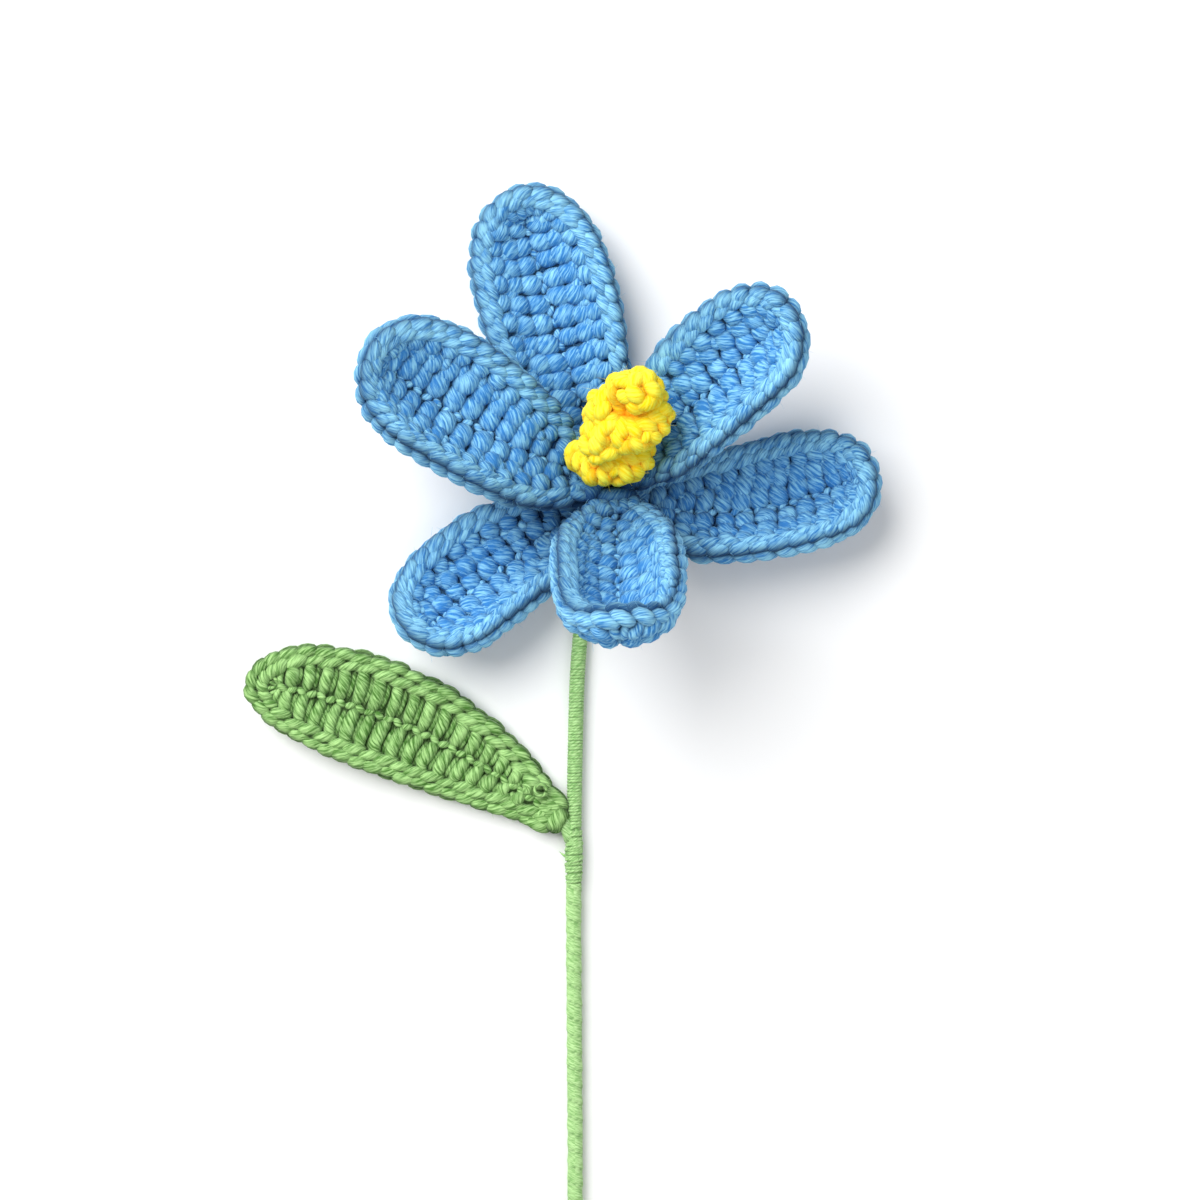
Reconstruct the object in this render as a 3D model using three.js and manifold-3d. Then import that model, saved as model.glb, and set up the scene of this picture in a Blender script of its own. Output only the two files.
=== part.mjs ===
// A crocheted six-petalled flower on a yarn-wound wire stem with one crocheted leaf,
// lying on its back. Millimetres, +Z up. The stem runs towards -Y, the open flower faces up.
// While the pieces are made, the origin is under the hub where the petals meet. The last
// lines move it to the middle of the footprint.
import * as THREE from "three";
import { mergeVertices } from "three/addons/utils/BufferGeometryUtils.js";
import Module from "manifold-3d";

const wasm = await Module();
wasm.setup();

// Driving dimensions
const GAP = 0.3; // clearance between touching pieces
const PETAL_HALF_THICKNESS = 2.1;
const PETAL_ROOT_HALF_WIDTH = 3.8;
const LEAF_HALF_THICKNESS = 1.9;
const LEAF_ROOT_HALF_WIDTH = 2.9;
const WIDEST_AT = 0.6; // share of a petal's length where it is widest
const CURL_FROM = 0.7; // share of its length where the tip starts to curl in
const FLARE_TO = 0.35; // share of its length over which the cup closes up from the root
const EDGE_WIRE_INSET = 3.0; // from the outline to the wire inside the edge
const EDGE_WIRE_RADIUS = 0.4;
const EDGE_WIRE_SIDES = 5;
const EDGE_WIRE_STEPS = 28;
const EDGE_WIRE_BENDS = 11; // points along each side of a petal that the wire passes
const EDGE_WIRE_OVERRUN = 0.5; // length of wire past the petal's root
const TUNNEL_OVERRUN = 1.5; // its tunnel runs further, so it opens at the root
const TUNNEL_SLACK = 0.1; // more clearance for a tunnel round a bend
const STEM_WIRE_RADIUS = 0.8;
const STEM_RADIUS = 1.5;
const LEAF_BINDING_RADIUS = 1.8;
const LEAF_BINDING_LENGTH = 10.5;
const LEAF_TIE = new THREE.Vector3(-6.4, -62.8, 2); // where the leaf binding starts
const WIRE_SHOWS = 0.6; // length of stem wire left bare at its foot
const STRIP = { bore: 1.4, thickness: 2.2, pitch: 2.5, turns: 1.5, height: 20.5 };
const HEAD_BINDING = { top: 1.0, shoulder: -1.6, bottom: -2.9, radius: 2.5, tail: 1.8, bore: 1.25 };

const HUB = new THREE.Vector3(0, 0, 7.5);
const HEAD_AXIS = new THREE.Vector3(0.05, 0.34, 0.94).normalize();
const STRIP_LEAN = new THREE.Vector3(0.27, 0.59, 0.76).normalize();
const STRIP_FOOT = new THREE.Vector3(-0.3, 4.9, 14.8);

// Each petal grows from its root point along a heading (degrees from +X), which turns by
// bend. Its pitch above the ground grows by lift, and by curl over the tip. It is rolled
// about its own line and cupped across to cupRadius.
const OUTER_PETALS = {
  petal_top: {
    root: [-2.0, 3.6, 7.6], length: 58, halfWidth: 14.5, cupRadius: 14,
    heading: 106, bend: 0, pitch: -22, lift: 44, curl: 40, roll: 0,
  },
  petal_right: {
    root: [3.6, -2.2, 7.5], length: 51.5, halfWidth: 14.0, cupRadius: 11,
    heading: -15, bend: 47, pitch: -23, lift: 49, curl: 50, roll: -22,
  },
  petal_lower_left: {
    root: [-3.4, -3.0, 7.2], length: 45.5, halfWidth: 13.8, cupRadius: 10.5,
    heading: -147, bend: 10, pitch: -27, lift: 66, curl: 50, roll: 18,
  },
};
const INNER_PETALS = {
  petal_upper_right: {
    root: [2.9, 4.2, 11.8], length: 48, halfWidth: 13.8, cupRadius: 10.5,
    heading: 41, bend: 0, pitch: 12, lift: 24, curl: 50, roll: -16,
  },
  petal_left: {
    root: [-3.4, 1.8, 12.0], length: 52, halfWidth: 15.5, cupRadius: 12,
    heading: 160.5, bend: -21, pitch: 6, lift: 25, curl: 50, roll: 18,
  },
  petal_front: {
    root: [1.1, -2.6, 12.6], length: 49, halfWidth: 15.2, cupRadius: 9.8,
    heading: -87, bend: 0, pitch: 47, lift: 14, curl: 110, roll: 0,
  },
};
const LEAF = {
  root: [-10.15, -60.8, 2.2], length: 64, halfWidth: 10.6, cupRadius: 26,
  heading: 140.5, bend: 31, pitch: -1, lift: 8, curl: 10, roll: 0,
};

// The stem wire's route: down from inside the yellow strip, through the hub, round a
// tight bend, and along the ground.
const STEM_ROUTE = [
  STRIP_FOOT.clone().addScaledVector(STRIP_LEAN, 16),
  STRIP_FOOT.clone().addScaledVector(STRIP_LEAN, 8),
  STRIP_FOOT.clone(),
  HUB.clone().addScaledVector(HEAD_AXIS, 2.5),
  HUB.clone().addScaledVector(HEAD_AXIS, -2.2),
  new THREE.Vector3(-0.7, -3.6, 2.6),
  new THREE.Vector3(-1.9, -8.5, 1.7),
  new THREE.Vector3(-4.1, -18, 1.6),
  new THREE.Vector3(-5.6, -31.5, 1.6),
  new THREE.Vector3(-6.2, -50, 1.8),
  new THREE.Vector3(-6.4, -66.6, 1.9),
  new THREE.Vector3(-6.45, -80, 1.8),
  new THREE.Vector3(-6.3, -105, 1.6),
  new THREE.Vector3(-6.2, -133, 1.6),
  new THREE.Vector3(-6.9, -170, 1.6),
  new THREE.Vector3(-6.8, -210, 1.6),
  new THREE.Vector3(-6.0, -243, 1.6),
];

const BLUE = 0x62a8dc;
const YELLOW = 0xf2d926;
const LEAF_GREEN = 0x7fae66;
const STEM_GREEN = 0x9ccb80;
const STEEL = 0xb4b6b8;
const YARN_ROUGHNESS = 0.9;
const STEEL_ROUGHNESS = 0.4;

const flower = new THREE.Group();

function addPiece(name, geometry, colour, roughness = YARN_ROUGHNESS, metalness = 0) {
  const material = new THREE.MeshStandardMaterial({ color: colour, roughness, metalness });
  const mesh = new THREE.Mesh(geometry, material);
  mesh.name = name;
  flower.add(mesh);
  return mesh;
}

// Solids for the boolean cuts

function toSolid(geometry) {
  const bare = geometry.clone();
  bare.deleteAttribute("normal");
  bare.deleteAttribute("uv");
  const merged = mergeVertices(bare, 1e-4);
  return new wasm.Manifold(new wasm.Mesh({
    numProp: 3,
    vertProperties: new Float32Array(merged.attributes.position.array),
    triVerts: new Uint32Array(merged.index.array),
  }));
}

function toGeometry(solid) {
  const mesh = solid.getMesh();
  const geometry = new THREE.BufferGeometry();
  geometry.setAttribute("position", new THREE.BufferAttribute(mesh.vertProperties, 3));
  geometry.setIndex(new THREE.BufferAttribute(mesh.triVerts, 1));
  geometry.computeVertexNormals();
  return geometry;
}

function largestPart(solid) {
  return solid.decompose().reduce((a, b) => (a.volume() > b.volume() ? a : b));
}

// Petals and the leaf

function petalSpine(spec, steps = 120) {
  const rad = THREE.MathUtils.degToRad;
  const ds = spec.length / steps;
  const spot = new THREE.Vector3(...spec.root);
  const spine = [];
  let last = null;
  for (let i = 0; i <= steps; i += 1) {
    const x = i / steps;
    const tip = Math.max(0, (x - CURL_FROM) / (1 - CURL_FROM));
    const pitch = rad(spec.pitch + spec.lift * x + spec.curl * tip ** 1.5);
    const heading = rad(spec.heading + spec.bend * x);
    const along = new THREE.Vector3(
      Math.cos(pitch) * Math.cos(heading),
      Math.cos(pitch) * Math.sin(heading),
      Math.sin(pitch),
    );
    const level = new THREE.Vector3(-Math.sin(heading), Math.cos(heading), 0);
    const side = level.applyAxisAngle(along, rad(spec.roll));
    const face = new THREE.Vector3().crossVectors(along, side);
    if (last) {
      spot.addScaledVector(last.clone().add(along), ds / 2);
    }
    last = along;
    spine.push({ spot: spot.clone(), along, side, face });
  }
  return spine;
}

// The point at share x of the length, across mm to the side, up mm off the middle layer.
function petalPoint(spec, spine, x, across, up) {
  const place = Math.min(Math.max(x, 0), 1) * (spine.length - 1);
  const i = Math.min(Math.floor(place), spine.length - 2);
  const part = place - i;
  const mix = (key) => spine[i][key].clone().lerp(spine[i + 1][key], part);
  const radius = spec.cupRadius * (1 + 0.5 * Math.max(0, 1 - x / FLARE_TO));
  const angle = across / radius;
  const normal = mix("face").multiplyScalar(Math.cos(angle))
    .addScaledVector(mix("side"), -Math.sin(angle));
  return mix("spot")
    .addScaledVector(mix("along"), Math.min(x, 0) * spec.length)
    .addScaledVector(mix("side"), radius * Math.sin(angle))
    .addScaledVector(mix("face"), radius * (1 - Math.cos(angle)))
    .addScaledVector(normal, up);
}

function halfWidthAt(x, spec, rootHalfWidth) {
  if (x < WIDEST_AT) {
    const swell = Math.sin((Math.PI / 2) * Math.max(x, 0) / WIDEST_AT) ** 0.9;
    return rootHalfWidth + (spec.halfWidth - rootHalfWidth) * swell;
  }
  const past = Math.min(1, (x - WIDEST_AT) / (1 - WIDEST_AT));
  return spec.halfWidth * Math.sqrt(1 - past ** 2.3);
}

function petalGeometry(spec, rootHalfWidth, halfThickness, swell = 0) {
  const rows = 12;
  const columns = 8;
  const lastRow = 0.997;
  const spine = petalSpine(spec);
  const corners = [];
  for (const up of [halfThickness + swell, -halfThickness - swell]) {
    for (let i = 0; i <= rows; i += 1) {
      const x = lastRow * Math.sin((Math.PI / 2) * (i / rows));
      const width = halfWidthAt(x, spec, rootHalfWidth) + swell;
      for (let j = 0; j <= columns; j += 1) {
        const across = width * (2 * j / columns - 1);
        corners.push(petalPoint(spec, spine, x, across, up));
      }
    }
  }
  const layer = (rows + 1) * (columns + 1);
  const at = (k, i, j) => k * layer + i * (columns + 1) + j;
  const faces = [];
  const quad = (a, b, c, d) => faces.push(a, b, c, a, c, d);
  for (let i = 0; i < rows; i += 1) {
    for (let j = 0; j < columns; j += 1) {
      quad(at(0, i, j), at(0, i + 1, j), at(0, i + 1, j + 1), at(0, i, j + 1));
      quad(at(1, i, j), at(1, i, j + 1), at(1, i + 1, j + 1), at(1, i + 1, j));
    }
    quad(at(0, i, 0), at(1, i, 0), at(1, i + 1, 0), at(0, i + 1, 0));
    quad(at(0, i, columns), at(0, i + 1, columns), at(1, i + 1, columns), at(1, i, columns));
  }
  for (let j = 0; j < columns; j += 1) {
    quad(at(0, 0, j), at(0, 0, j + 1), at(1, 0, j + 1), at(1, 0, j));
    quad(at(0, rows, j), at(1, rows, j), at(1, rows, j + 1), at(0, rows, j + 1));
  }
  const geometry = new THREE.BufferGeometry().setFromPoints(corners);
  geometry.setIndex(faces);
  geometry.computeVertexNormals();
  return geometry;
}

// Tubes along a curve

function circle(radius, sides) {
  return Array.from({ length: sides }, (_, i) => {
    const angle = (2 * Math.PI * i) / sides;
    return new THREE.Vector2(radius * Math.cos(angle), radius * Math.sin(angle));
  });
}

function tube(curve, radius, sides, steps, boreRadius = 0) {
  const section = new THREE.Shape(circle(radius, sides));
  if (boreRadius > 0) {
    section.holes.push(new THREE.Path(circle(boreRadius, sides)));
  }
  return new THREE.ExtrudeGeometry(section, { steps, extrudePath: curve, curveSegments: 1 });
}

// The wire worked into a petal's edge: up one side, round the tip and back.
function edgeWireCurve(spec, rootHalfWidth, overrun) {
  const spine = petalSpine(spec);
  const shrink = 1 - EDGE_WIRE_INSET / spec.halfWidth;
  const shorten = 1 - EDGE_WIRE_INSET / spec.length;
  const points = [];
  for (let k = -EDGE_WIRE_BENDS; k <= EDGE_WIRE_BENDS; k += 1) {
    const t = Math.sin((Math.PI / 2) * (1 - Math.abs(k) / EDGE_WIRE_BENDS));
    const across = Math.sign(k) * shrink * halfWidthAt(t, spec, rootHalfWidth);
    points.push(petalPoint(spec, spine, t * shorten, across, 0));
  }
  const rootAcross = shrink * rootHalfWidth;
  points.unshift(petalPoint(spec, spine, -overrun / spec.length, -rootAcross, 0));
  points.push(petalPoint(spec, spine, -overrun / spec.length, rootAcross, 0));
  return new THREE.CatmullRomCurve3(points, false, "centripetal");
}

function stretch(curve, from, to) {
  const part = new THREE.Curve();
  part.getPoint = (t, target = new THREE.Vector3()) => (
    curve.getPointAt(from + (to - from) * t, target)
  );
  return part;
}

function addEdgedPiece(name, spec, rootHalfWidth, halfThickness, colour, cutters) {
  const edgeTube = (radius, overrun) => (
    tube(edgeWireCurve(spec, rootHalfWidth, overrun), radius, EDGE_WIRE_SIDES, EDGE_WIRE_STEPS)
  );
  const tunnel = edgeTube(EDGE_WIRE_RADIUS + GAP + TUNNEL_SLACK, TUNNEL_OVERRUN);
  let solid = toSolid(petalGeometry(spec, rootHalfWidth, halfThickness)).subtract(toSolid(tunnel));
  for (const cutter of cutters) {
    solid = solid.subtract(cutter);
  }
  addPiece(name, toGeometry(largestPart(solid)), colour);
  const wire = edgeTube(EDGE_WIRE_RADIUS, EDGE_WIRE_OVERRUN);
  addPiece(`${name}_wire`, wire, STEEL, STEEL_ROUGHNESS, 1);
}

const innerSpace = Object.values(INNER_PETALS).map((spec) => (
  toSolid(petalGeometry(spec, PETAL_ROOT_HALF_WIDTH, PETAL_HALF_THICKNESS, GAP))
));
const outerSpace = Object.values(OUTER_PETALS).map((spec) => (
  toSolid(petalGeometry(spec, PETAL_ROOT_HALF_WIDTH, PETAL_HALF_THICKNESS, GAP))
));

for (const [name, spec] of Object.entries(OUTER_PETALS)) {
  addEdgedPiece(name, spec, PETAL_ROOT_HALF_WIDTH, PETAL_HALF_THICKNESS, BLUE, innerSpace);
}
for (const [name, spec] of Object.entries(INNER_PETALS)) {
  addEdgedPiece(name, spec, PETAL_ROOT_HALF_WIDTH, PETAL_HALF_THICKNESS, BLUE, []);
}
addEdgedPiece("leaf", LEAF, LEAF_ROOT_HALF_WIDTH, LEAF_HALF_THICKNESS, LEAF_GREEN, []);

// The yellow middle: one strip curled round the end of the stem wire
function stripGeometry() {
  const { bore, thickness, pitch, turns, height } = STRIP;
  const steps = 30;
  const wall = (offset) => Array.from({ length: steps + 1 }, (_, i) => {
    const angle = (2 * Math.PI * turns * i) / steps;
    const radius = bore + offset + (pitch * angle) / (2 * Math.PI);
    return new THREE.Vector2(radius * Math.cos(angle), radius * Math.sin(angle));
  });
  const outline = new THREE.Shape([...wall(thickness), ...wall(0).reverse()]);
  const roll = new THREE.ExtrudeGeometry(outline, { depth: height, steps: 3, bevelEnabled: false });
  const upright = new THREE.Vector3(0, 0, 1);
  roll.applyQuaternion(new THREE.Quaternion().setFromUnitVectors(upright, STRIP_LEAN));
  roll.translate(STRIP_FOOT.x, STRIP_FOOT.y, STRIP_FOOT.z);
  return roll;
}

let strip = toSolid(stripGeometry());
for (const space of [...innerSpace, ...outerSpace]) {
  strip = strip.subtract(space);
}
addPiece("centre_strip", toGeometry(largestPart(strip)), YELLOW);

// Stem wire and what is wound on it
const stemCurve = new THREE.CatmullRomCurve3(STEM_ROUTE, false, "centripetal");
const searchSteps = 2000;
stemCurve.arcLengthDivisions = searchSteps;
const stemLength = stemCurve.getLength();
const shareAt = (point) => {
  let best = 0;
  for (let i = 0; i <= searchSteps; i += 1) {
    const here = stemCurve.getPointAt(i / searchSteps).distanceTo(point);
    if (here < stemCurve.getPointAt(best / searchSteps).distanceTo(point)) {
      best = i;
    }
  }
  return best / searchSteps;
};

addPiece("stem_wire", tube(stemCurve, STEM_WIRE_RADIUS, 8, 64), STEEL, STEEL_ROUGHNESS, 1);

// The winding that gathers the petal roots: a hollow cone about the head axis
const coneProfile = [
  [HEAD_BINDING.bore, HEAD_BINDING.bottom],
  [HEAD_BINDING.tail, HEAD_BINDING.bottom],
  [HEAD_BINDING.radius, HEAD_BINDING.shoulder],
  [HEAD_BINDING.radius, HEAD_BINDING.top],
  [HEAD_BINDING.bore, HEAD_BINDING.top],
  [HEAD_BINDING.bore, HEAD_BINDING.bottom],
].map(([r, h]) => new THREE.Vector2(r, h));
const cone = new THREE.LatheGeometry(coneProfile, 16);
cone.applyQuaternion(
  new THREE.Quaternion().setFromUnitVectors(new THREE.Vector3(0, 1, 0), HEAD_AXIS),
);
cone.translate(HUB.x, HUB.y, HUB.z);
addPiece("head_binding", cone, STEM_GREEN);

const gapShare = GAP / stemLength;
const coneFoot = HUB.clone().addScaledVector(HEAD_AXIS, HEAD_BINDING.bottom);
const wrapTop = shareAt(coneFoot) + 2 * gapShare;
const bindingTop = shareAt(LEAF_TIE);
const bindingEnd = bindingTop + LEAF_BINDING_LENGTH / stemLength;
const wireShow = WIRE_SHOWS / stemLength;

function addWrap(name, from, to, radius, steps) {
  const bore = STEM_WIRE_RADIUS + GAP;
  addPiece(name, tube(stretch(stemCurve, from, to), radius, 10, steps, bore), STEM_GREEN);
}
addWrap("stem_wrap_upper", wrapTop, bindingTop - gapShare, STEM_RADIUS, 24);
addWrap("leaf_binding", bindingTop, bindingEnd, LEAF_BINDING_RADIUS, 4);
addWrap("stem_wrap_lower", bindingEnd + gapShare, 1 - wireShow, STEM_RADIUS, 30);

const footprint = new THREE.Box3().setFromObject(flower, true);
flower.position.set(
  -(footprint.min.x + footprint.max.x) / 2,
  -(footprint.min.y + footprint.max.y) / 2,
  -footprint.min.z,
);

export default flower;
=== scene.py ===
"""A crocheted flower with six cupped petals, a curled yellow middle and one leaf, tied on a
wound wire stem. It lies on its back. Lengths are millimetres measured from under the hub
where the petals meet, and become metres in the frame when a mesh is made."""
import math

import bpy
import numpy as np
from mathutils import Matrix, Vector


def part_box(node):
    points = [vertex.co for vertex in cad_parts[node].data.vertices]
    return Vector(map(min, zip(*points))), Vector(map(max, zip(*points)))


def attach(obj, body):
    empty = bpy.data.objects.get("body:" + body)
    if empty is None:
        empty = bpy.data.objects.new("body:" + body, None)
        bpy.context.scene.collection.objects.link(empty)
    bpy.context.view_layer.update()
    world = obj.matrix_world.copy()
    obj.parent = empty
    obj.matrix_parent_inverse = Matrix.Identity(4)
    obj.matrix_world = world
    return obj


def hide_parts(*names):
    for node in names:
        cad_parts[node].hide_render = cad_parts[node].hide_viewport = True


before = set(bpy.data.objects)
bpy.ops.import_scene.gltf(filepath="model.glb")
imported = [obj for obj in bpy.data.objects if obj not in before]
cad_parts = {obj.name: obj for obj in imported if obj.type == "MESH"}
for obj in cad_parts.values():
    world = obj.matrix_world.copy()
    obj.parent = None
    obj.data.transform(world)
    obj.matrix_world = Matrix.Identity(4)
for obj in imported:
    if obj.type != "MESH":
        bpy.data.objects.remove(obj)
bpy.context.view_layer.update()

MM = 0.001
WHOLE_TURN = 2 * np.pi
UPWARDS = np.array([0.0, 0.0, 1.0])
rng = np.random.default_rng(11)


# ---------------- lines and directions

def unit(vectors):
    return vectors / np.maximum(np.linalg.norm(vectors, axis=-1, keepdims=True), 1e-9)


def run_along(line):
    """The distance from a line's first point to each of its points."""
    return np.concatenate([[0], np.cumsum(np.linalg.norm(np.diff(line, axis=0), axis=1))])


def read_line(at, run, line):
    """The points of a line at distances along it, between those that its run lists."""
    return np.stack([np.interp(at, run, line[:, k]) for k in range(line.shape[1])], -1)


def smooth_path(controls, at):
    """Catmull-Rom curves through controls (strands, points, values), read at 0 to 1."""
    count = controls.shape[1]
    padded = np.concatenate([2 * controls[:, :1] - controls[:, 1:2], controls,
                             2 * controls[:, -1:] - controls[:, -2:-1]], 1)
    place = np.asarray(at) * (count - 1)
    i = np.minimum(place.astype(int), count - 2)
    f = (place - i)[None, :, None]
    p0, p1, p2, p3 = (padded[:, i + k] for k in range(4))
    return 0.5 * (2 * p1 + (p2 - p0) * f + (2 * p0 - 5 * p1 + 4 * p2 - p3) * f ** 2
                  + (3 * p1 - p0 - 3 * p2 + p3) * f ** 3)


# ---------------- where things are

HUB = np.array([0, 0, 7.5])
HEAD_AXIS = np.array([0.05, 0.34, 0.94])
HEAD_AXIS /= np.linalg.norm(HEAD_AXIS)
BINDING_RINGS = ((1.0, 2.5), (-1.6, 2.5), (-2.9, 1.8))  # height on the head axis, radius


def hub_origin():
    """The point under the hub, in millimetres in the frame, from the head binding's box."""
    low, high = (np.array(corner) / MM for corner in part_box("head_binding"))
    reach = np.sqrt(1 - HEAD_AXIS ** 2)
    top = np.max([h * HEAD_AXIS + r * reach for h, r in BINDING_RINGS], axis=0)
    foot = np.min([h * HEAD_AXIS - r * reach for h, r in BINDING_RINGS], axis=0)
    return (low + high) / 2 - (top + foot) / 2 - HUB


ORIGIN = hub_origin()

PETAL_ROOT_HALF_WIDTH = 3.8
LEAF_ROOT_HALF_WIDTH = 2.9
WIDEST_AT = 0.6  # share of a petal's length where it is widest
CURL_FROM = 0.7  # share of its length where the tip starts to curl in
FLARE_TO = 0.35  # share of its length over which the cup closes up from the root
FLARE = 0.5
CURL_POWER = 1.5
SWELL_POWER = 0.9
TIP_POWER = 2.3
BLADE_STEPS = 120
OUTLINE_STEPS = 300

PETALS = {
    "petal_top": dict(
        root=(-2.0, 3.6, 7.6), length=58, half_width=14.5, cup=14,
        heading=106, bend=0, pitch=-22, lift=44, curl=40, roll=0),
    "petal_right": dict(
        root=(3.6, -2.2, 7.5), length=51.5, half_width=14.0, cup=11,
        heading=-15, bend=47, pitch=-23, lift=49, curl=50, roll=-22),
    "petal_lower_left": dict(
        root=(-3.4, -3.0, 7.2), length=45.5, half_width=13.8, cup=10.5,
        heading=-147, bend=10, pitch=-27, lift=66, curl=50, roll=18),
    "petal_upper_right": dict(
        root=(2.9, 4.2, 11.8), length=48, half_width=13.8, cup=10.5,
        heading=41, bend=0, pitch=12, lift=24, curl=50, roll=-16),
    "petal_left": dict(
        root=(-3.4, 1.8, 12.0), length=52, half_width=15.5, cup=12,
        heading=160.5, bend=-21, pitch=6, lift=25, curl=50, roll=18),
    "petal_front": dict(
        root=(1.1, -2.6, 12.6), length=49, half_width=15.2, cup=9.8,
        heading=-87, bend=0, pitch=47, lift=14, curl=110, roll=0),
}
LEAF = dict(
    root=(-10.15, -60.8, 2.2), length=64, half_width=10.6, cup=26,
    heading=140.5, bend=31, pitch=-1, lift=8, curl=10, roll=0)


# ---------------- shape of a petal

class Blade:
    """A petal's or leaf's middle layer, bent in space as its CAD solid is."""

    def __init__(self, spec, root_half_width):
        self.length = spec["length"]
        self.half_width = spec["half_width"]
        self.root_half_width = root_half_width
        self.cup = spec["cup"]
        x = np.linspace(0, 1, BLADE_STEPS + 1)
        tip = np.clip((x - CURL_FROM) / (1 - CURL_FROM), 0, 1)
        pitch = np.radians(spec["pitch"] + spec["lift"] * x + spec["curl"] * tip ** CURL_POWER)
        heading = np.radians(spec["heading"] + spec["bend"] * x)
        roll = math.radians(spec["roll"])
        along = np.stack([np.cos(pitch) * np.cos(heading),
                          np.cos(pitch) * np.sin(heading), np.sin(pitch)], 1)
        level = np.stack([-np.sin(heading), np.cos(heading), 0 * x], 1)
        rise = np.cross(along, level)
        side = level * math.cos(roll) + rise * math.sin(roll)
        face = np.cross(along, side)
        spot = np.zeros((len(x), 3))
        spot[1:] = np.cumsum((along[1:] + along[:-1]) / 2, 0) * self.length / BLADE_STEPS
        self.x = x
        self.spine = (spot + spec["root"], along, side, face)

    def width_at(self, x):
        x = np.clip(x, 0, 1)
        swell = np.sin(np.pi / 2 * np.minimum(x, WIDEST_AT) / WIDEST_AT) ** SWELL_POWER
        near = self.root_half_width + (self.half_width - self.root_half_width) * swell
        past = np.clip((x - WIDEST_AT) / (1 - WIDEST_AT), 0, 1)
        return np.where(x < WIDEST_AT, near, self.half_width * np.sqrt(1 - past ** TIP_POWER))

    def place(self, flat, up):
        """Points in space for flat points (mm along, mm across), up mm off the middle layer."""
        x = flat[..., 0] / self.length
        spot, along, side, face = (read_line(x, self.x, rows) for rows in self.spine)
        radius = self.cup * (1 + FLARE * np.clip(1 - x / FLARE_TO, 0, 1))
        angle = flat[..., 1] / radius
        normal = face * np.cos(angle)[..., None] - side * np.sin(angle)[..., None]
        over = np.clip(x - 1, 0, None) + np.clip(x, None, 0)
        spot = (spot + along * (over * self.length)[..., None]
                + side * (radius * np.sin(angle))[..., None]
                + face * (radius * (1 - np.cos(angle)))[..., None])
        return spot + normal * np.asarray(up)[..., None], normal


class Net:
    """The crochet rounds of a blade: u mm round its outline, b mm in from the outline."""

    def __init__(self, blade, seam_from, seam_to, slant):
        x = np.sin(np.linspace(0, np.pi / 2, OUTLINE_STEPS))
        side = np.stack([x * blade.length, blade.width_at(x)], 1)
        back = side[::-1] * [1, -1]
        self.outline = np.concatenate([side, back[1:]])
        self.run = run_along(self.outline)
        self.blade = blade
        self.seam_from = seam_from
        self.seam_to = seam_to
        self.slant = slant

    def stitches(self, pitch):
        """Where whole stitches stand round the outline, and the pitch that fits them in."""
        total = self.run[-1]
        count = int(total / pitch)
        pitch = total / count
        return (np.arange(count) + 0.5) * pitch, pitch

    def edge(self, u):
        return read_line(u, self.run, self.outline)

    def seam(self, u):
        x = np.clip(self.edge(u)[..., 0] - self.slant, self.seam_from, self.seam_to)
        return np.stack([x, 0 * x], -1)

    def depth(self, u):
        return np.linalg.norm(self.edge(u) - self.seam(u), axis=-1)

    def flat(self, u, b):
        edge = self.edge(u)
        inward = self.seam(u) - edge
        length = np.maximum(np.linalg.norm(inward, axis=-1, keepdims=True), 0.01)
        return edge + inward / length * np.asarray(b)[..., None]


# ---------------- one loop of yarn

# Bands of the spindle that are made plumper: height from, height to, how much wider.
PLUMP_BANDS = ((-1, 0.9, 1.06), (0.4, 0.9, 1.1))


def model_loop_form():
    """One visible loop of yarn, modelled once: a plump spindle two units long."""
    bpy.ops.object.select_all(action="DESELECT")
    bpy.ops.mesh.primitive_uv_sphere_add(segments=10, ring_count=9, radius=1)
    form = bpy.context.active_object
    for low, high, wider in PLUMP_BANDS:
        for vertex in form.data.vertices:
            vertex.select = low < abs(vertex.co.z) < high
        bpy.ops.object.mode_set(mode="EDIT")
        bpy.ops.transform.resize(value=(wider, wider, 1))
        bpy.ops.object.mode_set(mode="OBJECT")
    return form


class LoopForm:
    """The spindle's vertices and faces as arrays, ready to be laid along a path."""

    def __init__(self):
        form = model_loop_form()
        self.points = np.array([vertex.co for vertex in form.data.vertices])
        faces = [np.array(polygon.vertices) for polygon in form.data.polygons]
        levels = np.round((self.points[:, 2] + 1) / 2, 5)
        self.levels, self.ring_of = np.unique(levels, return_inverse=True)
        angle = np.arctan2(self.points[:, 0], self.points[:, 1])
        poles = np.hypot(self.points[:, 0], self.points[:, 1]) < 1e-4
        corner_angles = []
        for face in faces:
            turn = angle[face]
            ring = ~poles[face]
            first = turn[ring][0]
            turn = np.where(turn - first > np.pi, turn - WHOLE_TURN, turn)
            turn = np.where(turn - first < -np.pi, turn + WHOLE_TURN, turn)
            turn[~ring] = turn[ring].mean()
            corner_angles.append(turn)
        self.corner_angle = np.concatenate(corner_angles)
        self.corners = np.concatenate(faces)
        self.face_sizes = np.array([len(face) for face in faces])
        bpy.data.objects.remove(form)


LOOP = LoopForm()
SMALL_STEP = 0.01  # share of a loop over which its direction is measured
PATTERN_REACH = 400  # how far the yarn's pattern may start from its origin
TONE_SPREAD = 0.35
DEEP_GAP_SHADE = 2.5  # how much darker the painted shade makes the sides of the loops in the deepest gaps
FIBRE_RADIUS = 0.03
FIBRE_TONE = 1.2
FIBRE_STEPS = 4
FIBRE_SIDES = 3
FLOOR_PRESS = 0.2  # the yarn flattens over about this height where it rests on the floor


def put_in_scene(name, data):
    thing = bpy.data.objects.new(name, data)
    bpy.context.scene.collection.objects.link(thing)
    return thing


TURNED_OVER = [0, 3, 2, 1]  # the order of a face's corners that points it the other way


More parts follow.
